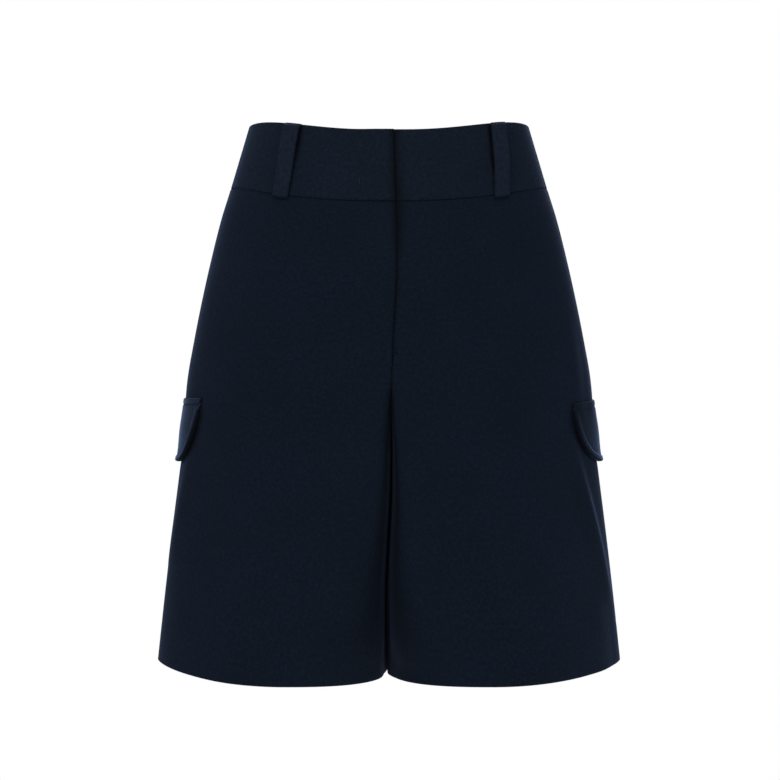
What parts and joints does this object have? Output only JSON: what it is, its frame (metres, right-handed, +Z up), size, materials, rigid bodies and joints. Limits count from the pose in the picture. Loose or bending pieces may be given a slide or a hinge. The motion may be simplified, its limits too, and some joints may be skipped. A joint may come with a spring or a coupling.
{
  "type": "bermuda shorts, filled out as if worn",
  "caption": "Knee-length tailored shorts with a deep waistband, belt loops, a lapped fly front and a pocket flap on the side of each leg, open at waist and hems as if worn.",
  "frame": {"origin": "middle of the waist opening, half way up the waistband at the side seams, where the wearer holds the shorts up", "axes": "+Z up out of the waist opening, +X to the wearer's left, +Y to the wearer's back; the fly front faces -Y"},
  "size_m": [0.4394, 0.2363, 0.5214],
  "materials": {
    "cloth": "brushed dark navy wool",
    "waistband": "brushed dark navy wool",
    "trim": "brushed dark navy wool"
  },
  "bodies": {
    "root": {"front_left": "cloth", "front_right": "cloth", "back_left": "cloth", "back_right": "cloth", "waistband_front_left": "waistband", "waistband_front_right": "waistband", "waistband_back": "waistband", "belt_loop_front_left": "trim", "belt_loop_front_right": "trim", "belt_loop_back_left": "trim", "belt_loop_back_right": "trim", "belt_loop_centre_back": "trim", "pocket_flap_left": "trim", "pocket_flap_right": "trim"}
  },
  "joints": []
}
